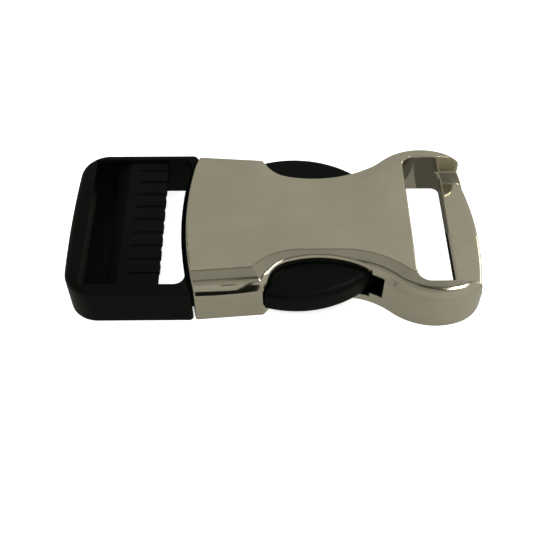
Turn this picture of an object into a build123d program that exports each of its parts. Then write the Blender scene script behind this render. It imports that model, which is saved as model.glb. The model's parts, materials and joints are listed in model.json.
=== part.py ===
from build123d import *
import math
import os

os.makedirs("parts", exist_ok=True)

# A fastened side release buckle for webbing, lying flat. All sizes are millimetres.
# +X runs from the plug to the socket, +Z is up, and the origin is under the middle.

# Webbing and the clearances
webbing_width = 25.0
webbing_play = 1.0
fit_gap = 0.3
mouth_gap = 0.25
slot_length = webbing_width + webbing_play

# Socket, along its length
mouth_to_window = 12.2
window_length = 16.1
notch_length = 1.9
web_wall = 4.9
slot_width = 7.05
bar_width = 4.75
cavity_past_notch = 0.6
cavity_spread = 0.6

# Across the width: the walls beside the webbing, and what follows from them
rail_width = 1.5
lobe_wall = 2.9
frame_step = 0.1
skirt_taper = 0.85
plug_width = slot_length + 2 * rail_width
mouth_width = plug_width - 2 * frame_step
skirt_end_width = mouth_width - 2 * skirt_taper
lobe_width = slot_length + 2 * lobe_wall
waist_width = 20.6
mouth_wall = 1.25

# Socket, heights
socket_height = 8.0
floor_thickness = 1.4
roof_thickness = 1.5
notch_floor = 2.2
notch_height = 4.4
notch_wall = 0.2
bar_height = 2.8
bar_ramp_height = 1.4

# Socket, curves of the plan
mouth_bow = 1.75
waist_radius = 6.0
flare_radius = 11.0
lobe_radius = 10.0
lobe_setback = 8.5
end_corner_radius = 6.2
end_radius = 56.0
slot_corner_radius = 2.0
bar_corner_radius = 1.3

# Socket, the cut that trims the roof back to the grip of the arms
rim_setback = 2.0
rim_width = waist_width - 2 * rim_setback
rim_start = 0.45
rim_start_radius = 4.4
rim_flare_radius = 16.0
rim_middle = 8.2

# Socket, edges
slope_width = 3.3
slope_drop = 0.6
shoulder_radius = 2.0
foot_round = 0.3
skirt_end_round = 0.8
bar_outer_round = 0.8
bar_inner_round = 0.25
slot_edge_round = 0.35
slot_foot_round = 0.4
mouth_edge_round = 0.3
rim_edge_round = 0.45

# Plug, along its length
outer_bar_width = 2.8
passage_width = 3.3
ladder_width = 8.5
open_gap_width = 2.75
lip_width = 0.7
crossbar_width = 3.6

# Plug, frame
plug_height = 7.5
frame_corner_radius = 4.6
rail_end_radius = 0.6
gap_corner_radius = 1.6
frame_bow = 0.5
frame_edge_round = 1.2
frame_inner_round = 0.25

# Plug, ladder bar and the webbing passage beside it
ladder_height = 6.9
ladder_flat_width = 6.1
ladder_drop = 1.9
ladder_foot = 1.5
ladder_undercut = 1.0
ladder_round = 0.35
passage_bend_height = 4.4
passage_lean = 3.7
groove_pitch = 2.7
groove_width = 0.8
groove_depth = 0.15
groove_length = 4.7
groove_margin = 1.5

# Plug, what goes into the socket
neck_gap = 0.25
arm_gap = 0.3
catch_gap = 0.2
beam_thickness = 2.0
pad_past_rim = 6.35
pad_tip_past_rim = 0.12
pad_reach = rim_width / 2 + pad_past_rim
pad_tip_reach = rim_width / 2 + pad_tip_past_rim
pad_crown = 5.0
pad_root_depth = 6.9
pad_tip_depth = 8.0
pad_round = 1.1
tongue_width = 4.4
tongue_length = 23.0
tongue_thickness = 3.0

# Lengths that follow from the sizes above
socket_length = mouth_to_window + window_length + notch_length + web_wall + slot_width + bar_width
plug_reach = outer_bar_width + passage_width + ladder_width + open_gap_width + lip_width
total_length = socket_length + plug_reach
mouth_x = plug_reach - total_length / 2
end_x = total_length / 2
frame_x = -total_length / 2
window_x = mouth_x + mouth_to_window
window_end_x = window_x + window_length
notch_end_x = window_end_x + notch_length
cavity_end_x = notch_end_x + cavity_past_notch
slot_x = notch_end_x + web_wall
bar_x = slot_x + slot_width
roof_z = socket_height - roof_thickness
tall = socket_height * 3


def mouth_radius():
    """Radius of the bowed front edge of the socket."""
    half = mouth_width / 2
    return (half * half + mouth_bow * mouth_bow) / (2 * mouth_bow)


def mouth_edge(y, out=0.0):
    """X of the bowed front edge at a distance y from the middle, moved out towards the plug."""
    radius = mouth_radius() + out
    return mouth_x - out + radius - math.sqrt(radius * radius - y * y)


def centre_from_two(a, radius_a, b, radius_b, side):
    """Point that lies radius_a from a and radius_b from b, on the given side of the line a to b."""
    dx, dy = b[0] - a[0], b[1] - a[1]
    gap = math.hypot(dx, dy)
    along = (gap * gap + radius_a * radius_a - radius_b * radius_b) / (2 * gap)
    across = side * math.sqrt(radius_a * radius_a - along * along)
    return a[0] + (dx * along - dy * across) / gap, a[1] + (dy * along + dx * across) / gap


def touching(a, radius_a, b):
    """Point on circle a in the direction of point b."""
    gap = math.hypot(b[0] - a[0], b[1] - a[1])
    return a[0] + (b[0] - a[0]) * radius_a / gap, a[1] + (b[1] - a[1]) * radius_a / gap


def arc_round(centre, start, end):
    """The shorter arc about a centre from start to end."""
    radius = math.hypot(start[0] - centre[0], start[1] - centre[1])
    middle = ((start[0] + end[0]) / 2, (start[1] + end[1]) / 2)
    return ThreePointArc(start, touching(centre, radius, middle), end)


def whole_face(half):
    """Closes a half outline, drawn on the +Y side from the middle to the middle, with its mirror."""
    edges = Curve() + half
    return make_face(edges + mirror(edges, about=Plane.XZ))


def waist_centre():
    """Centre of the hollow curve from the back corner of the skirt to the waist, on the +Y side."""
    y = waist_width / 2 + waist_radius
    return window_x + math.sqrt(waist_radius**2 - (y - skirt_end_width / 2)**2), y


def socket_plan():
    """Outline of the socket seen from above, front edge, skirt, waist, lobes and end."""
    front = (mouth_x, 0)
    corner = (mouth_x + mouth_bow, mouth_width / 2)
    skirt_stop = (window_x, skirt_end_width / 2)
    waist = waist_centre()
    lobe = (end_x - lobe_setback, lobe_width / 2 - lobe_radius)
    flare_y = waist_width / 2 + flare_radius
    flare = (lobe[0] - math.sqrt((flare_radius + lobe_radius)**2 - (flare_y - lobe[1])**2), flare_y)
    end = (end_x - end_radius, 0)
    inside_lobe = lobe_radius - end_corner_radius
    inside_end = end_radius - end_corner_radius
    knuckle = centre_from_two(lobe, inside_lobe, end, inside_end, -1)
    waist_stop = (waist[0], waist_width / 2)
    flare_start = (flare[0], waist_width / 2)
    flare_stop = touching(flare, flare_radius, lobe)
    lobe_stop = touching(lobe, lobe_radius, knuckle)
    knuckle_stop = touching(end, end_radius, knuckle)
    quarter = mouth_width / 4
    return whole_face([
        ThreePointArc(front, (mouth_edge(quarter), quarter), corner),
        Line(corner, skirt_stop),
        arc_round(waist, skirt_stop, waist_stop),
        Line(waist_stop, flare_start),
        arc_round(flare, flare_start, flare_stop),
        arc_round(lobe, flare_stop, lobe_stop),
        arc_round(knuckle, lobe_stop, knuckle_stop),
        arc_round(end, knuckle_stop, (end_x, 0)),
    ])


def skirt_corner():
    """What the round of the back corner of the skirt takes away on the +Y side."""
    corner = [vertex for vertex in socket_plan().vertices()
              if abs(vertex.X - window_x) < 0.01 and vertex.Y > waist_width / 2]
    rounds = fillet(corner, skirt_end_round).edges().filter_by(GeomType.CIRCLE)
    arc = rounds.sort_by(SortBy.LENGTH)[0]
    outside = (window_x + skirt_end_round, mouth_width / 2)
    face = make_face(Curve() + [arc, Line(arc @ 1, outside), Line(outside, arc @ 0)])
    return extrude(face, socket_height)


def rim_cut():
    """Plan of the space beside the trimmed roof, on the +Y side."""
    far = lobe_width
    flare = (window_x + rim_middle, rim_width / 2 + rim_flare_radius)
    centre_x = window_x + rim_start + rim_start_radius
    inside = rim_flare_radius - rim_start_radius
    centre = (centre_x, flare[1] - math.sqrt(inside**2 - (flare[0] - centre_x)**2))
    start = (centre_x - rim_start_radius, centre[1])
    meet = touching(flare, rim_flare_radius, centre)
    sweep = window_end_x - flare[0]
    stop = (window_end_x, flare[1] - math.sqrt(rim_flare_radius**2 - sweep**2))
    return make_face(Curve() + [
        Line((start[0], far), start),
        arc_round(centre, start, meet),
        arc_round(flare, meet, stop),
        Line(stop, (window_end_x, far)),
        Line((window_end_x, far), (start[0], far)),
    ])


def block(x0, x1, y0, y1, z0, z1):
    """A straight block between two corners."""
    return Pos((x0 + x1) / 2, (y0 + y1) / 2, (z0 + z1) / 2) * Box(x1 - x0, y1 - y0, z1 - z0)


def cavity_half(x):
    """Half width of the hollow of the skirt, which keeps the wall as the skirt narrows."""
    taper = (mouth_width - skirt_end_width) / 2 / (window_x - mouth_x - mouth_bow)
    return mouth_width / 2 - mouth_wall - taper * (x - mouth_x - mouth_bow)


def cavity():
    """The hollow that takes the arms, open at the mouth and closed in front of the slot."""
    outside = mouth_x - lip_width
    end_half = waist_width / 2 - notch_wall
    half = [(outside, cavity_half(outside)), (window_x, cavity_half(window_x)),
            (window_end_x, waist_width / 2 + cavity_spread), (notch_end_x, end_half),
            (cavity_end_x, end_half)]
    other = [(x, -y) for x, y in reversed(half)]
    outline = Polyline(*half, *other, close=True)
    return Pos(0, 0, floor_thickness) * extrude(make_face(outline), roof_z - floor_thickness)


def slot_plan():
    """Outline of the webbing slot."""
    outline = Pos((slot_x + bar_x) / 2, 0) * Rectangle(slot_width, slot_length)
    left = outline.vertices().group_by(Axis.X)[0]
    outline = fillet(left, slot_corner_radius)
    return fillet(outline.vertices().group_by(Axis.X)[-1], bar_corner_radius)


def beside_slot(edge):
    """True for an edge that lies round the webbing slot."""
    middle = edge.center()
    reach = slot_edge_round
    return slot_x - reach < middle.X < bar_x + reach and abs(middle.Y) < slot_length / 2 + reach


def rounded_over(plan, height, rounding):
    """The top of a hole of the given plan that ends at a height, widened by the round of its edge."""
    depth = 2 * rounding
    low = height - depth
    box = plan.bounding_box()
    slab = block(box.min.X - depth, box.max.X + depth, box.min.Y - depth, box.max.Y + depth, low, height)
    rest = slab - Pos(0, 0, low) * extrude(plan, depth)
    outside = rest.bounding_box()
    rim = edges_at(rest, height, lambda edge: abs(edge.center().Y) < outside.max.Y - rounding
                   and outside.min.X + rounding < edge.center().X < outside.max.X - rounding)
    return slab - fillet(rim, rounding)


def bar_recess():
    """The space above the low webbing bar, with a ramp up to the lobe at each end."""
    half = slot_length / 2
    ramp_top = bar_height + bar_ramp_height
    run = half - bar_ramp_height
    outline = Polyline((-half, tall), (-half, ramp_top), (-run, bar_height),
                       (run, bar_height), (half, ramp_top), (half, tall), close=True)
    start = bar_x - bar_corner_radius
    return Pos(start, 0, 0) * extrude(Plane.YZ * make_face(outline), end_x + bar_width - start)


def open_window(body):
    """Trims the roof back to the grip of the +Y arm, and rounds the edge that this leaves."""
    beside = Pos(0, 0, floor_thickness) * extrude(rim_cut(), tall)
    cut = body - beside
    low = floor_thickness + rim_edge_round
    rim = [edge for edge in new_edges(body, beside, combined=cut) if edge.center().Z > low]
    return fillet(rim, rim_edge_round)


def notch():
    """The step in the wall of the lobe that the tip of the +Y arm springs into."""
    return block(window_end_x - fit_gap, notch_end_x, waist_width / 4, lobe_width,
                 notch_floor, notch_floor + notch_height)


def edges_at(shape, z, keep=lambda edge: True):
    """Edges that lie level at a height and pass a test."""
    level = [edge for edge in shape.edges()
             if abs(edge.start_point().Z - z) < 0.01 and abs(edge.end_point().Z - z) < 0.01
             and abs(edge.center().Z - z) < 0.01]
    return [edge for edge in level if keep(edge)]


def on_mouth(edge):
    """True for an edge that runs along the bowed front face."""
    points = (edge.position_at(share) for share in (0, 0.5, 1))
    return edge.length > 2 * mouth_edge_round and all(
        abs(point.X - mouth_edge(point.Y)) < 0.001 for point in points)


def make_socket():
    """The metal socket: one casting with a hollow, two windows, a slot and a low bar."""
    body = extrude(socket_plan(), socket_height)
    top = body.faces().sort_by(Axis.Z)[-1]
    front = mouth_x + mouth_bow
    body = chamfer([edge for edge in top.edges() if edge.center().X > front],
                   slope_width, slope_drop, reference=top)
    body = fillet(edges_at(body, socket_height - slope_drop, lambda edge: edge.center().X > front),
                  shoulder_radius)
    body -= skirt_corner()
    body = fillet(edges_at(body, 0, lambda edge: edge.center().X > front), foot_round)
    body = fillet([edge for edge in body.edges() if on_mouth(edge)], mouth_edge_round)
    body -= Pos(0, 0, -tall / 2) * extrude(slot_plan(), tall)
    body = fillet(edges_at(body, 0, beside_slot), slot_foot_round)
    body -= rounded_over(slot_plan(), socket_height, slot_edge_round)
    body -= bar_recess()
    along_bar = edges_at(body, bar_height, lambda edge: edge.length > waist_width / 4)
    body = fillet(ShapeList(along_bar).sort_by(Axis.X)[0], bar_inner_round)
    outer = edges_at(body, bar_height, lambda edge: edge.geom_type == GeomType.CIRCLE)
    body = fillet(outer, bar_outer_round)
    half = open_window(body) & block(frame_x, total_length, 0, lobe_width, -tall, tall)
    half -= notch()
    return half + mirror(half, about=Plane.XZ) - cavity()


def frame_plan():
    """Outline of the frame of the plug, with its bowed end and round corners."""
    half = plug_width / 2
    corner_x = frame_x + frame_bow
    meet_x = mouth_edge(half, mouth_gap)
    outline = whole_face([
        ThreePointArc((frame_x, 0), (frame_x + frame_bow / 4, half / 2), (corner_x, half)),
        Line((corner_x, half), (meet_x, half)),
        ThreePointArc((meet_x, half), (mouth_edge(half / 2, mouth_gap), half / 2),
                      (mouth_x - mouth_gap, 0)),
    ])
    corners = [vertex for vertex in outline.vertices() if abs(vertex.Y) > half / 2]
    corners = ShapeList(corners).group_by(Axis.X)
    outline = fillet(corners[0], frame_corner_radius)
    ends = [vertex for vertex in outline.vertices() if abs(vertex.X - meet_x) < 0.01]
    return fillet(ends, rail_end_radius)


def frame_opening():
    """Plan of the space inside the frame, from the outer bar to the lip that follows the mouth."""
    half = slot_length / 2
    left = frame_x + outer_bar_width
    right = mouth_edge(half, lip_width)
    outline = whole_face([
        Line((left, 0), (left, half)),
        Line((left, half), (right, half)),
        ThreePointArc((right, half), (mouth_edge(half / 2, lip_width), half / 2),
                      (mouth_x - lip_width, 0)),
    ])
    corners = [vertex for vertex in outline.vertices() if abs(vertex.X - right) < 0.01]
    return fillet(corners, gap_corner_radius)


def across(points, round_above=socket_height, rounding=0.1):
    """A bar of the given XZ section that spans the frame, with the corners above a height rounded."""
    face = make_face(Plane.XZ * Polyline(*points, close=True))
    corners = [vertex for vertex in face.vertices() if vertex.Z > round_above]
    if corners:
        face = fillet(corners, rounding)
    return extrude(face, (slot_length + rail_width) / 2, both=True)


def ladder():
    """The raised ribbed bar that the webbing turns over, and the slope behind the outer bar."""
    left = frame_x + outer_bar_width + passage_width
    right = left + ladder_width
    flat_start = right - ladder_flat_width
    lean = passage_lean / passage_bend_height
    foot_left = left + lean * (passage_bend_height - ladder_foot)
    section = [(left, passage_bend_height), (left, ladder_height - ladder_drop),
               (flat_start, ladder_height), (right, ladder_height),
               (right - ladder_undercut, ladder_foot), (foot_left, ladder_foot)]
    bar = across(section, passage_bend_height, ladder_round)
    room = slot_length / 2 - groove_margin
    count = 2 * int(room / groove_pitch) + 1
    for step in range(count):
        y = (step - (count - 1) / 2) * groove_pitch
        bar -= block(right - groove_length, right + groove_depth,
                     y - groove_width / 2, y + groove_width / 2,
                     ladder_height - groove_depth, ladder_height + groove_depth)
    bar_end = frame_x + outer_bar_width
    slope = across([(bar_end - groove_depth, 0), (bar_end - groove_depth, passage_bend_height),
                    (bar_end, passage_bend_height), (bar_end + passage_lean, 0)])
    return bar + slope


def neck():
    """The block behind the lip that fills the mouth and carries the arms and the tongue."""
    inner_x = mouth_x + crossbar_width
    half = cavity_half(mouth_x) - neck_gap
    half_in = cavity_half(inner_x) - neck_gap
    edge = mouth_edge(half, lip_width)
    outline = make_face(Curve() + [
        Line((inner_x, -half_in), (inner_x, half_in)),
        Line((inner_x, half_in), (edge, half)),
        ThreePointArc((edge, half), (mouth_x - lip_width, 0), (edge, -half)),
        Line((edge, -half), (inner_x, -half_in)),
    ])
    low = floor_thickness + neck_gap
    return Pos(0, 0, low) * extrude(outline, roof_z - neck_gap - low)


def pad_radius():
    """Radius of the outer face of a pad, which falls from its crown to its tip."""
    run = notch_end_x - arm_gap - window_x - pad_crown
    fall = pad_reach - pad_tip_reach
    return (run * run + fall * fall) / (2 * fall)


def arm():
    """A sprung arm on the +Y side: the beam inside the skirt and the pad that fills the window."""
    start = mouth_x + crossbar_width / 2
    tip = notch_end_x - arm_gap
    crown = window_x + pad_crown
    beam_out = cavity_half(start) - arm_gap
    root_out = cavity_half(window_x) - arm_gap
    catch = waist_centre()
    catch_radius = waist_radius - catch_gap
    catch_foot = (catch[0] - math.sqrt(catch_radius**2 - (catch[1] - root_out)**2), root_out)
    radius = pad_radius()
    catch_top = centre_from_two(catch, catch_radius, (crown, pad_reach - radius), radius, -1)
    pad_end = (tip, pad_tip_reach)
    plan = make_face(Curve() + [
        Polyline((start, beam_out), (start, beam_out - beam_thickness),
                 (window_x, root_out - beam_thickness), (crown, pad_reach - pad_root_depth),
                 (tip, pad_reach - pad_tip_depth), pad_end),
        ThreePointArc(pad_end, (crown, pad_reach), catch_top),
        arc_round(catch, catch_top, catch_foot),
        Line(catch_foot, (start, beam_out)),
    ])
    low = floor_thickness + arm_gap
    high = roof_z - arm_gap
    disc = Pos(crown, pad_reach - radius, (low + high) / 2) * Cylinder(radius, high - low)
    disc = fillet(disc.edges().filter_by(GeomType.CIRCLE), pad_round)
    outside = block(window_x, notch_end_x, 0, plug_width, low, high) - disc
    return Pos(0, 0, low) * extrude(plan, high - low) - outside


def clear_of_mouth(edge):
    """True for an edge of the frame that doesn't run along the mouth."""
    middle = edge.center()
    return middle.X < mouth_x - mouth_bow or abs(middle.Y) > slot_length / 2


def make_frame():
    """The frame of the plug with its rounded outer edges, rails and outer bar."""
    body = extrude(frame_plan(), plug_height)
    body = fillet(edges_at(body, plug_height, clear_of_mouth), frame_edge_round)
    body = fillet(edges_at(body, 0, clear_of_mouth), foot_round)
    body -= extrude(frame_opening(), plug_height)
    return body - rounded_over(frame_opening(), plug_height, frame_inner_round)


def make_plug():
    """The plastic plug: frame, ladder bar, neck, two sprung arms and a guide tongue in one moulding."""
    body = make_frame() + ladder() + neck()
    right = arm()
    body += right
    body += mirror(right, about=Plane.XZ)
    middle = (floor_thickness + roof_z) / 2
    start = mouth_x + crossbar_width / 2
    body += block(start, mouth_x + tongue_length, -tongue_width / 2, tongue_width / 2,
                  middle - tongue_thickness / 2, middle + tongue_thickness / 2)
    return body


if __name__ == "__main__":
    export_step(make_socket(), "parts/socket.step")
    export_step(make_plug(), "parts/plug.step")
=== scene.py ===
import json
import math

import bpy
from bpy.props import FloatProperty, FloatVectorProperty, IntProperty, PointerProperty
from mathutils import Matrix, Vector

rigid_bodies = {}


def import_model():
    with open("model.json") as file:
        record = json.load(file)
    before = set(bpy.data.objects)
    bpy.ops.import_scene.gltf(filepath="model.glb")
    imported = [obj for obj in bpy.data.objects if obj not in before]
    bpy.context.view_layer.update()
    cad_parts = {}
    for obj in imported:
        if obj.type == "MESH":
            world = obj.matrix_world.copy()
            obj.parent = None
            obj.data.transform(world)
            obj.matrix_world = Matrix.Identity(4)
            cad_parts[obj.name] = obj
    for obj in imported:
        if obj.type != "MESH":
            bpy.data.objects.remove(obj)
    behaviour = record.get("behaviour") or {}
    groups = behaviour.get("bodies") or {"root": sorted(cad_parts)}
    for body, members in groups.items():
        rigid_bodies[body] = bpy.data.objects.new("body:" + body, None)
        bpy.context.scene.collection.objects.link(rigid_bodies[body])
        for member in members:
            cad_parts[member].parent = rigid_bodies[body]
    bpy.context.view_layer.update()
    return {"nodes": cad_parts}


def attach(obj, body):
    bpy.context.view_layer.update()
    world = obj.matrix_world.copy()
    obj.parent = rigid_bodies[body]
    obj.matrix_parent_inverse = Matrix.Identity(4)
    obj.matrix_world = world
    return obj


bl_info = {
    "name": "Side Release Buckle",
    "version": (1, 0, 0),
    "blender": (4, 5, 0),
    "location": "View3D > Sidebar > Buckle",
    "description": "Dresses a fastened side release buckle in polished metal and black moulded plastic",
    "category": "Object",
}

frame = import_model()
SOCKET = frame["nodes"]["socket"]
PLUG = frame["nodes"]["plug"]

# The photograph's camera, in millimetres from the middle of the buckle, and radians
MM = 0.001
CAMERA_PLACE = (-1.71, -91.79, 108.99)
CAMERA_PITCH = 0.902
CAMERA_YAW = 0.014
CAMERA_ROLL = 0.004
FOCAL_PIXELS = 870.0
IMAGE_PIXELS = 550.0
SENSOR_WIDTH = 36.0

# The tint of the room, and its light by height, in degrees above the level, as a share of its strength
WARM = (1.0, 0.98, 0.84, 1.0)
ROOM = ((-90, 0.45), (-62, 0.55), (-51, 0.93), (-20, 0.86), (10, 0.93), (49, 1.0), (62, 0.84), (74, 0.69),
        (90, 0.66))

# The floor's height in millimetres, which keeps it clear of the buckle's underside
FLOOR_LEVEL = -0.02

# Place and width in metres of the lamp that washes the floor with light
WASH_PLACE = (-0.1, -0.1, 0.9)
WASH_WIDTH = 1.3

# The ribbed top of the ladder bar, in millimetres
LADDER_TOP = 6.9
LADDER_EDGE_X = -17.875
RIB_PITCH = 2.7
GROOVE_WIDTH = 0.8
GROOVE_LENGTH = 4.7

# A rib reaches this many of its rounds down into the bar, and its faces are cut into this many points
RIB_ROUNDS_DEEP = 4
RIB_POINTS = (25, 13, 7)

# Widths of the marks on the plating, in metres: clouds of its colour, haze, and polishing lines two ways
PLATING_CLOUD = 0.011
PLATING_HAZE = 0.0032
PLATING_LINES = (0.0016, 0.0019)
# How the noise of each set of lines is stretched, and its turn about the vertical in radians
LINES_STRETCH = ((0.06, 1.6, 1.0), (1.4, 0.05, 1.0))
LINES_TURN = (0.35, -0.5)
# How far the plating's colour strays, down and up
PLATING_STRAY = (0.94, 1.06)

# Widths of the marks on the plastic, in metres: flow clouds, scuffs along the part, and faint sinks
PLASTIC_CLOUD = 0.009
PLASTIC_SCUFF = 0.002
PLASTIC_SINK = 0.006
SCUFF_STRETCH = (1.6, 0.12, 1.0)
SCUFF_TURN = 0.2
PLASTIC_STRAY = (0.85, 1.2)


class Value:
    """A number that varies over a surface, as the socket that carries it, with Python's own operators."""

    def __init__(self, sheet, socket):
        self.sheet = sheet
        self.socket = socket

    def combine(self, operation, *others):
        """A Math node of this value and others."""
        node = self.sheet.node("ShaderNodeMath", {"operation": operation}, dict(enumerate((self, *others))))
        return Value(self.sheet, node.outputs[0])

    def __add__(self, other):
        return self.combine("ADD", other)

    def __radd__(self, other):
        return self.combine("ADD", other)

    def __sub__(self, other):
        return self.combine("SUBTRACT", other)

    def __rsub__(self, other):
        node = self.sheet.node("ShaderNodeMath", {"operation": "SUBTRACT"}, {0: other, 1: self})
        return Value(self.sheet, node.outputs[0])

    def __mul__(self, other):
        return self.combine("MULTIPLY", other)

    def __rmul__(self, other):
        return self.combine("MULTIPLY", other)


class Sheet:
    """The node sheet of one material, or of the room around the buckle."""

    def __init__(self, owner, coordinates="Object"):
        owner.use_nodes = True
        self.owner = owner
        self.tree = owner.node_tree
        self.tree.nodes.clear()
        self.place = self.node("ShaderNodeTexCoord", {}, {}).outputs[coordinates]

    def node(self, kind, settings, inputs):
        """A node of a type, with its settings made first and then its sockets set or linked."""
        node = self.tree.nodes.new(kind)
        for name, value in settings.items():
            if name == "stops":
                elements = node.color_ramp.elements
                while len(elements) < len(value):
                    elements.new(1.0)
                for element, (position, colour) in zip(elements, value):
                    element.position = position
                    element.color = colour
            else:
                setattr(node, name, value)
        for name, value in inputs.items():
            self.feed(node.inputs[name], value)
        return node

    def feed(self, socket, value):
        """Sets a socket to a plain value, or links it to a value that varies."""
        if isinstance(value, Value):
            value = value.socket
        if isinstance(value, bpy.types.NodeSocket):
            self.tree.links.new(value, socket)
        else:
            socket.default_value = value

    def stretched(self, scale, turn):
        """Object coordinates, turned about the vertical and then stretched."""
        mapping = {"Vector": self.place, "Rotation": (0, 0, turn), "Scale": scale}
        return self.node("ShaderNodeMapping", {"vector_type": "POINT"}, mapping).outputs[0]

    def noise(self, size, detail, rough=0.5, where=None):
        """Soft noise from 0 to 1 whose lumps are about as large as the size, in metres."""
        inputs = {"Vector": where or self.place, "Scale": 1 / size, "Detail": detail, "Roughness": rough}
        return Value(self, self.node("ShaderNodeTexNoise", {}, inputs).outputs["Fac"])

    def step(self, value, low, high):
        """A smooth step from 0 where the value is low to 1 where it is high."""
        inputs = {"Value": value, "From Min": low, "From Max": high}
        node = self.node("ShaderNodeMapRange", {"interpolation_type": "SMOOTHSTEP"}, inputs)
        return Value(self, node.outputs[0])

    def blend(self, share, first, second):
        """A colour between two, by a share from 0 to 1."""
        node = self.node("ShaderNodeMix", {"data_type": "RGBA"}, {"Factor": share})
        self.feed(node.inputs[6], first)
        self.feed(node.inputs[7], second)
        return node.outputs[2]

    def bump(self, height, depth, normal=None):
        """A surface normal from a height of 0 to 1 and its depth in metres, over another normal if given."""
        inputs = {"Height": height, "Distance": depth}
        if normal is not None:
            inputs["Normal"] = normal
        return self.node("ShaderNodeBump", {}, inputs).outputs[0]

    def surface(self, inputs):
        """Ends the sheet in a surface shader with these sockets."""
        shader = self.node("ShaderNodeBsdfPrincipled", {}, inputs)
        self.node("ShaderNodeOutputMaterial", {}, {"Surface": shader.outputs[0]})
        return self.owner


def shade(colour, factor):
    """A colour made lighter or darker."""
    return (colour[0] * factor, colour[1] * factor, colour[2] * factor, 1.0)


def polished_metal(look):
    """Polished plating on a die casting: faint waves, fine polishing lines and a little haze."""
    sheet = Sheet(bpy.data.materials.new("polished_metal"))
    cloud = sheet.noise(PLATING_CLOUD, detail=2.0)
    haze = sheet.noise(PLATING_HAZE, detail=4.0, rough=0.6)
    lines, cross = [sheet.noise(width, detail=5.0, rough=0.7, where=sheet.stretched(stretch, turn))
                    for width, stretch, turn in zip(PLATING_LINES, LINES_STRETCH, LINES_TURN)]
    waves = sheet.noise(look.wave_size, detail=1.0)
    colour = sheet.blend(sheet.step(cloud * 0.7 + haze * 0.3, 0.3, 0.7),
                         *[shade(look.colour, stray) for stray in PLATING_STRAY])
    hazy = look.roughness * (0.8 + sheet.step(haze, 0.35, 0.75) * 0.5)
    rough = hazy + sheet.step(lines * cross, 0.22, 0.5) * 0.03
    worn = sheet.node("ShaderNodeBevel", {"samples": 6}, {"Radius": look.edge_round}).outputs[0]
    waved = sheet.bump(waves, look.wave_depth, normal=worn)
    lined = sheet.bump(lines * 0.5 + cross * 0.5, look.scratch_depth, normal=waved)
    return sheet.surface({"Base Color": colour, "Metallic": 1.0, "Roughness": rough, "Normal": lined})


def black_plastic(look):
    """Black moulded plastic: a fine mould grain, a low sheen and faint flow clouds."""
    sheet = Sheet(bpy.data.materials.new("black_plastic"))
    cloud = sheet.noise(PLASTIC_CLOUD, detail=3.0)
    grain = sheet.noise(look.grain_size, detail=2.0, rough=0.6)
    along = sheet.stretched(SCUFF_STRETCH, SCUFF_TURN)
    scuffs = sheet.noise(PLASTIC_SCUFF, detail=6.0, rough=0.75, where=along)
    colour = sheet.blend(sheet.step(cloud, 0.3, 0.7), *[shade(look.colour, stray) for stray in PLASTIC_STRAY])
    rough = look.roughness + (cloud - 0.5) * 0.12 + sheet.step(scuffs, 0.58, 0.8) * 0.1
    softened = sheet.bump(sheet.noise(PLASTIC_SINK, detail=1.0), look.sink_depth)
    grained = sheet.bump(grain, look.grain_depth, normal=softened)
    return sheet.surface({"Base Color": colour, "Roughness": rough, "IOR": 1.45,
                          "Specular IOR Level": 0.09, "Normal": grained})


def pale_floor(look):
    """Plain pale floor."""
    sheet = Sheet(bpy.data.materials.new("pale_floor"))
    return sheet.surface({"Base Color": (look.floor, look.floor, look.floor, 1.0), "Roughness": 0.9,
                          "Specular IOR Level": 0.1, "Emission Color": (1.0, 1.0, 1.0, 1.0),
                          "Emission Strength": look.glow})


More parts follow.
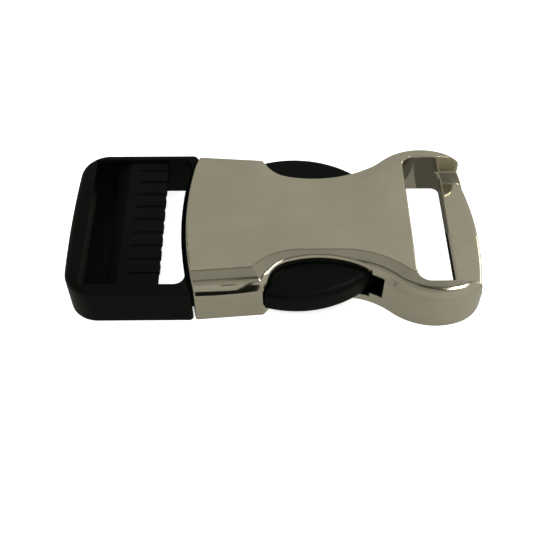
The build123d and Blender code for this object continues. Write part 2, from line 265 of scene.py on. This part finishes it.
class Flow:
    """Builds a geometry node tree with named inputs."""

    def __init__(self, name, inputs):
        self.tree = bpy.data.node_groups.new(name, "GeometryNodeTree")
        self.ids = {}
        for label, kind in inputs.items():
            socket = self.tree.interface.new_socket(label, in_out="INPUT", socket_type="NodeSocket" + kind)
            self.ids[label] = socket.identifier
        self.tree.interface.new_socket("Geometry", in_out="OUTPUT", socket_type="NodeSocketGeometry")
        self.given = self.tree.nodes.new("NodeGroupInput").outputs

    def node(self, kind, settings, inputs):
        """A node of a type, with its settings made first and then its sockets set or linked."""
        node = self.tree.nodes.new(kind)
        for name, value in settings.items():
            setattr(node, name, value)
        for name, value in inputs.items():
            if isinstance(value, bpy.types.NodeSocket):
                self.tree.links.new(value, node.inputs[name])
            else:
                node.inputs[name].default_value = value
        return node

    def vector(self, operation, *values):
        """A Vector Math node of these values."""
        return self.node("ShaderNodeVectorMath", {"operation": operation}, dict(enumerate(values))).outputs[0]

    def scaled(self, vector, factor):
        """A vector made longer or shorter."""
        inputs = {0: vector, "Scale": factor}
        return self.node("ShaderNodeVectorMath", {"operation": "SCALE"}, inputs).outputs[0]

    def axes(self, values):
        """A vector from numbers or sockets by axis, and 0 on the axes that aren't named."""
        return self.node("ShaderNodeCombineXYZ", {}, values).outputs[0]

    def math(self, operation, *values):
        """A Math node of these values."""
        return self.node("ShaderNodeMath", {"operation": operation}, dict(enumerate(values))).outputs[0]

    def end(self, geometry, material):
        """Ends the tree: instances made real, and a material."""
        real = self.node("GeometryNodeRealizeInstances", {}, {"Geometry": geometry}).outputs[0]
        smooth = self.node("GeometryNodeSetShadeSmooth", {}, {"Geometry": real}).outputs[0]
        inputs = {"Geometry": smooth, "Material": material}
        dressed = self.node("GeometryNodeSetMaterial", {}, inputs).outputs[0]
        self.node("NodeGroupOutput", {}, {"Geometry": dressed})

    def grow(self, name, values):
        """Runs the tree once with these values and keeps the result as a plain mesh."""
        piece = bpy.data.objects.new(name, bpy.data.meshes.new(name))
        bpy.context.scene.collection.objects.link(piece)
        modifier = piece.modifiers.new("grow", "NODES")
        modifier.node_group = self.tree
        for label, value in values.items():
            modifier[self.ids[label]] = value
        graph = bpy.context.evaluated_depsgraph_get()
        mesh = bpy.data.meshes.new_from_object(piece.evaluated_get(graph), depsgraph=graph)
        piece.modifiers.clear()
        piece.data = mesh
        return piece


def rib_flow():
    """Tree for a row of bars with rounded edges, along Y."""
    flow = Flow("ladder_ribs", {"Count": "Int", "Pitch": "Float", "Size": "Vector", "Round": "Float",
                                "Middle": "Vector", "Material": "Material"})
    given = flow.given
    points = dict(zip(("Vertices X", "Vertices Y", "Vertices Z"), RIB_POINTS))
    cube = flow.node("GeometryNodeMeshCube", {}, {"Size": given["Size"], **points}).outputs[0]
    place = flow.node("GeometryNodeInputPosition", {}, {}).outputs[0]
    rounding = flow.axes({0: given["Round"], 1: given["Round"], 2: given["Round"]})
    core = flow.vector("SUBTRACT", flow.scaled(given["Size"], 0.5), rounding)
    inner = flow.vector("MINIMUM", flow.vector("MAXIMUM", place, flow.scaled(core, -1.0)), core)
    out = flow.vector("NORMALIZE", flow.vector("SUBTRACT", place, inner))
    rounded = flow.vector("ADD", inner, flow.scaled(out, given["Round"]))
    bar = flow.node("GeometryNodeSetPosition", {}, {"Geometry": cube, "Position": rounded}).outputs[0]
    steps = flow.math("SUBTRACT", given["Count"], 1.0)
    back = flow.math("MULTIPLY", steps, flow.math("MULTIPLY", given["Pitch"], -0.5))
    line = flow.node("GeometryNodeMeshLine", {"mode": "OFFSET"}, {
        "Count": given["Count"], "Start Location": flow.vector("ADD", given["Middle"], flow.axes({1: back})),
        "Offset": flow.axes({1: given["Pitch"]})}).outputs[0]
    row = flow.node("GeometryNodeInstanceOnPoints", {}, {"Points": line, "Instance": bar}).outputs[0]
    flow.end(row, given["Material"])
    return flow


class BuckleMetal(bpy.types.PropertyGroup):
    """Finish of the metal socket."""

    colour: FloatVectorProperty(name="Colour", description="Colour of the plating", subtype="COLOR", size=3,
                                min=0, max=1, default=(0.69, 0.653, 0.548))
    roughness: FloatProperty(name="Roughness", description="Haze of the polish", min=0, max=1, default=0.1)
    wave_size: FloatProperty(name="Wave Size", description="Width of the waves left by polishing",
                             unit="LENGTH", default=0.007)
    wave_depth: FloatProperty(name="Wave Depth", description="Height of those waves", unit="LENGTH",
                              default=0.00001)
    edge_round: FloatProperty(name="Edge Wear", description="Radius that polishing leaves on the creases",
                              unit="LENGTH", default=0.0003)
    scratch_depth: FloatProperty(name="Line Depth", description="Depth of the polishing lines", unit="LENGTH",
                                 default=0.0000006)


class BucklePlastic(bpy.types.PropertyGroup):
    """Finish of the moulded plug."""

    colour: FloatVectorProperty(name="Colour", description="Colour of the plastic", subtype="COLOR", size=3,
                                min=0, max=1, default=(0.0016, 0.0023, 0.0019))
    roughness: FloatProperty(name="Roughness", description="Haze of the moulded skin", min=0, max=1,
                             default=0.36)
    grain_size: FloatProperty(name="Grain Size", description="Width of the mould grain", unit="LENGTH",
                              default=0.00022)
    grain_depth: FloatProperty(name="Grain Depth", description="Depth of the mould grain", unit="LENGTH",
                               default=0.000004)
    sink_depth: FloatProperty(name="Sink Depth", description="Depth of the faint sink of the moulding",
                              unit="LENGTH", default=0.00002)


class BuckleRibs(bpy.types.PropertyGroup):
    """The ribs on the ladder bar of the plug."""

    count: IntProperty(name="Count", description="Number of ribs between the outer grooves", min=2, default=8)
    proud: FloatProperty(name="Proud", description="Height of the ribs above the bar", unit="LENGTH",
                         default=0.00006)
    rounding: FloatProperty(name="Rounding", description="Radius of the edges of a rib", unit="LENGTH",
                            default=0.00025)


class BuckleStage(bpy.types.PropertyGroup):
    """Floor, light and camera."""

    floor: FloatProperty(name="Floor Shade", description="Lightness of the floor", min=0, max=1, default=0.86)
    floor_reach: FloatProperty(name="Floor Reach", description="Half the side of the floor", unit="LENGTH",
                               default=1.5)
    room: FloatProperty(name="Room Light", description="Strength of the light of the room", min=0,
                        default=0.4)
    lean: FloatProperty(name="Lean", description="How much lighter the room is on the right", default=0.2)
    glow: FloatProperty(name="Floor Glow", description="Light that the floor gives of itself", min=0,
                        default=0.7)
    wash: FloatProperty(name="Wash", description="Power of the lamp that lights the floor", unit="POWER",
                        default=14.0)


class BuckleSettings(bpy.types.PropertyGroup):
    """Everything that can be changed on the buckle."""

    metal: PointerProperty(type=BuckleMetal)
    plastic: PointerProperty(type=BucklePlastic)
    ribs: PointerProperty(type=BuckleRibs)
    stage: PointerProperty(type=BuckleStage)


def dress(node, material):
    """Gives a piece from the frame its finished material."""
    slots = node.data.materials
    slots.clear()
    slots.append(material)


class BUCKLE_OT_socket(bpy.types.Operator):
    """Finish the metal socket"""

    bl_idname = "buckle.socket"
    bl_label = "Socket"

    def execute(self, context):
        dress(SOCKET, polished_metal(context.scene.buckle.metal))
        return {"FINISHED"}


class BUCKLE_OT_plug(bpy.types.Operator):
    """Finish the black moulded plug"""

    bl_idname = "buckle.plug"
    bl_label = "Plug"

    def execute(self, context):
        dress(PLUG, black_plastic(context.scene.buckle.plastic))
        return {"FINISHED"}


class BUCKLE_OT_ribs(bpy.types.Operator):
    """Lay the ribs on the ladder bar of the plug"""

    bl_idname = "buckle.ribs"
    bl_label = "Ladder Ribs"

    def execute(self, context):
        look = context.scene.buckle.ribs
        if not PLUG.data.materials:
            raise RuntimeError("The plug is finished before its ribs, which take its material.")
        depth = RIB_ROUNDS_DEEP * look.rounding
        size = (GROOVE_LENGTH * MM, (RIB_PITCH - GROOVE_WIDTH) * MM, depth)
        middle = ((LADDER_EDGE_X - GROOVE_LENGTH / 2) * MM, 0.0, LADDER_TOP * MM + look.proud - depth / 2)
        ribs = rib_flow().grow("ladder_ribs", {
            "Count": look.count, "Pitch": RIB_PITCH * MM, "Size": size, "Round": look.rounding,
            "Middle": middle, "Material": PLUG.data.materials[0]})
        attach(ribs, "root")
        return {"FINISHED"}


def flat(name, corners):
    """A flat piece of the stage between its corners in millimetres."""
    mesh = bpy.data.meshes.new(name)
    mesh.from_pydata([Vector(corner) * MM for corner in corners], [], [list(range(len(corners)))])
    piece = bpy.data.objects.new(name, mesh)
    bpy.context.scene.collection.objects.link(piece)
    return piece


def card(name, corners, glow):
    """A flat glowing card round the buckle that shows in the polish alone: a painted reflection that lights
    nothing.
    """
    piece = flat(name, corners)
    sheet = Sheet(bpy.data.materials.new(name))
    light = sheet.node("ShaderNodeEmission", {}, {"Color": WARM, "Strength": glow})
    sheet.node("ShaderNodeOutputMaterial", {}, {"Surface": light.outputs[0]})
    piece.data.materials.append(sheet.owner)
    for ray in ("camera", "diffuse", "transmission", "volume_scatter", "shadow"):
        setattr(piece, "visible_" + ray, False)


def facing(azimuth, elevation, distance, width, height, point=(0, 0, 0)):
    """Corners of a card that faces a point of the buckle from a direction in degrees, in millimetres."""
    turn, rise = math.radians(azimuth), math.radians(elevation)
    out = Vector((math.sin(turn) * math.cos(rise), math.cos(turn) * math.cos(rise), math.sin(rise)))
    side = Vector((math.cos(turn), -math.sin(turn), 0)) * width / 2
    up = side.cross(out).normalized() * height / 2
    middle = Vector(point) + out * distance
    return [middle - side - up, middle + side - up, middle + side + up, middle - side + up]


def lamp(name, place, size, power):
    """A soft square lamp that looks at the buckle and doesn't show in the polish."""
    light = bpy.data.lights.new(name, "AREA")
    light.shape = "SQUARE"
    light.size = size
    light.energy = power
    piece = bpy.data.objects.new(name, light)
    piece.location = place
    piece.rotation_euler = (-Vector(place)).to_track_quat("-Z", "Y").to_euler()
    piece.visible_glossy = False
    piece.visible_camera = False
    bpy.context.scene.collection.objects.link(piece)


def room(look):
    """An even grey room, lighter at mid height, that looks pale behind the floor."""
    world = bpy.data.worlds.new("room")
    sheet = Sheet(world, "Generated")
    way = sheet.node("ShaderNodeSeparateXYZ", {}, {0: sheet.place}).outputs
    share = Value(sheet, way[2]) * 0.5 + 0.5
    stops = [((math.sin(math.radians(angle)) + 1) / 2, shade(WARM, level)) for angle, level in ROOM]
    ramp = sheet.node("ShaderNodeValToRGB", {"stops": stops}, {0: share})
    strength = (Value(sheet, way[0]) * look.lean + 1.0) * look.room
    room_light = sheet.node("ShaderNodeBackground", {}, {"Color": ramp.outputs[0], "Strength": strength})
    pale = sheet.node("ShaderNodeBackground", {}, {"Color": (1, 1, 1, 1), "Strength": 1.0})
    seen = sheet.node("ShaderNodeLightPath", {}, {}).outputs["Is Camera Ray"]
    both = sheet.node("ShaderNodeMixShader", {}, {0: seen, 1: room_light.outputs[0], 2: pale.outputs[0]})
    sheet.node("ShaderNodeOutputWorld", {}, {"Surface": both.outputs[0]})
    return world


def photo_camera():
    """The camera at the photograph's angle."""
    camera = bpy.data.cameras.new("photo_camera")
    camera.sensor_width = SENSOR_WIDTH
    camera.lens = FOCAL_PIXELS / IMAGE_PIXELS * SENSOR_WIDTH
    camera.clip_start = 0.005
    piece = bpy.data.objects.new("photo_camera", camera)
    bpy.context.scene.collection.objects.link(piece)
    level = Vector((math.cos(CAMERA_YAW), -math.sin(CAMERA_YAW), 0))
    ahead = Vector((math.sin(CAMERA_YAW) * math.cos(CAMERA_PITCH),
                    math.cos(CAMERA_YAW) * math.cos(CAMERA_PITCH), -math.sin(CAMERA_PITCH)))
    above = level.cross(ahead)
    right = math.cos(CAMERA_ROLL) * level + math.sin(CAMERA_ROLL) * above
    above = math.cos(CAMERA_ROLL) * above - math.sin(CAMERA_ROLL) * level
    turn = Matrix((right, above, -ahead)).transposed()
    piece.matrix_world = Matrix.Translation(Vector(CAMERA_PLACE) * MM) @ turn.to_4x4()
    bpy.context.scene.camera = piece


# Cards round the buckle that its polish mirrors: corners in millimetres, and glow. They show in reflections
# alone and light nothing, so all are painted reflections: the lamp and the window paint the highlights, and
# the darker ones paint the dark lines and shade on the shoulder, lobe, skirt, gap and slot
CARDS = {
    "lamp_right": (facing(95, 62, 400, 110, 110), 7.0),
    "window_right": (facing(60, 6, 600, 160, 240), 3.0),
    # Dark strips overhead paint dark reflection lines on the shoulder, the crease and the lobe
    "strip_shoulder": ([(-300, 6, 300), (300, 22, 300), (300, 66, 300), (-300, 66, 300)], 0.1),
    "strip_crease": ([(-300, 115, 300), (45, 115, 300), (45, 185, 300), (-300, 185, 300)], 0.06),
    "strip_lobe": ([(-5, -24, 300), (-5, 8, 300), (20, 20, 300), (70, 5, 300), (115, -70, 300),
                    (100, -100, 300), (55, -45, 300), (20, -28, 300)], 0.04),
    # Dark cards in front of the skirt and facing the ramp paint dark reflections there
    "card_front": ([(-13.5, -24, -0.3), (-11.5, -24, -1.2), (-8.9, -24, -3), (-5.4, -24, -2.4),
                    (-3.6, -24, -1.1), (-1.9, -24, 0.4), (-1.4, -24, 14), (-2.6, -24, 14.6), (-2.5, -24, 19),
                    (-0.9, -24, 31.9), (-2.2, -24, 26.2), (-3.1, -24, 21.9), (-4.2, -24, 12),
                    (-5.3, -24, 6.4), (-6.8, -24, 6.3), (-8.8, -24, 7.1), (-13.5, -24, 9.2)], 0.01),
    "card_dash": ([(-7.7, -24, 17.6), (-5.3, -24, 17.4), (-5.3, -24, 21.2), (-7.7, -24, 21.8)], 0.01),
    "card_ramp": (facing(163.3, 44.6, 60, 8.5, 7, (28.9, 12.6, 3.8)), 0.11),
    # Dark cards in the slot and on its floor paint shade into the reflections of the slot's walls and bar
    "edge_shade": ([(24.2, -12.5, 2.6), (24.2, 8, 2.6), (24.2, 8, 7.0), (24.2, -12.5, 7.0)], 0.36),
    "bar_shade": ([(27.15, -13, 0.01), (27.75, -13, 0.01), (27.75, 3, 0.01), (27.15, 3, 0.01)], 0.01),
    "slot_shade_left": ([(20.7, 3, 0.01), (24.2, 3, 0.01), (24.2, 14, 0.01), (20.7, 14, 0.01)], 0.24),
    "slot_shade_right": ([(24.2, 3, 0.01), (28, 3, 0.01), (28, 14, 0.01), (24.2, 14, 0.01)], 0.09),
}


class BUCKLE_OT_stage(bpy.types.Operator):
    """Set the floor, the light and the camera"""

    bl_idname = "buckle.stage"
    bl_label = "Stage"

    def execute(self, context):
        look = context.scene.buckle.stage
        reach = look.floor_reach / MM
        sides = ((-reach, -reach), (reach, -reach), (reach, reach), (-reach, reach))
        floor = flat("floor", [(x, y, FLOOR_LEVEL) for x, y in sides])
        floor.data.materials.append(pale_floor(look))
        floor.visible_glossy = False
        context.scene.world = room(look)
        lamp("wash", WASH_PLACE, WASH_WIDTH, look.wash)
        for name, (corners, glow) in CARDS.items():
            card(name, corners, glow)
        photo_camera()
        context.scene.view_settings.view_transform = "Standard"
        return {"FINISHED"}


class BUCKLE_PT_panel(bpy.types.Panel):
    """Lists the steps and settings of the buckle"""

    bl_label = "Side Release Buckle"
    bl_space_type = "VIEW_3D"
    bl_region_type = "UI"
    bl_category = "Buckle"

    def draw(self, context):
        settings = context.scene.buckle
        groups = ((BUCKLE_OT_socket, settings.metal), (BUCKLE_OT_plug, settings.plastic),
                  (BUCKLE_OT_ribs, settings.ribs), (BUCKLE_OT_stage, settings.stage))
        for operator, group in groups:
            box = self.layout.box()
            box.operator(operator.bl_idname)
            for name in type(group).__annotations__:
                box.prop(group, name)


CLASSES = (BuckleMetal, BucklePlastic, BuckleRibs, BuckleStage, BuckleSettings,
           BUCKLE_OT_socket, BUCKLE_OT_plug, BUCKLE_OT_ribs, BUCKLE_OT_stage, BUCKLE_PT_panel)


def register():
    for item in CLASSES:
        bpy.utils.register_class(item)
    bpy.types.Scene.buckle = PointerProperty(type=BuckleSettings)


def unregister():
    del bpy.types.Scene.buckle
    for item in reversed(CLASSES):
        bpy.utils.unregister_class(item)


def main():
    """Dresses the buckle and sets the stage."""
    register()
    bpy.ops.buckle.socket()
    bpy.ops.buckle.plug()
    bpy.ops.buckle.ribs()
    bpy.ops.buckle.stage()


if __name__ == "__main__":
    main()
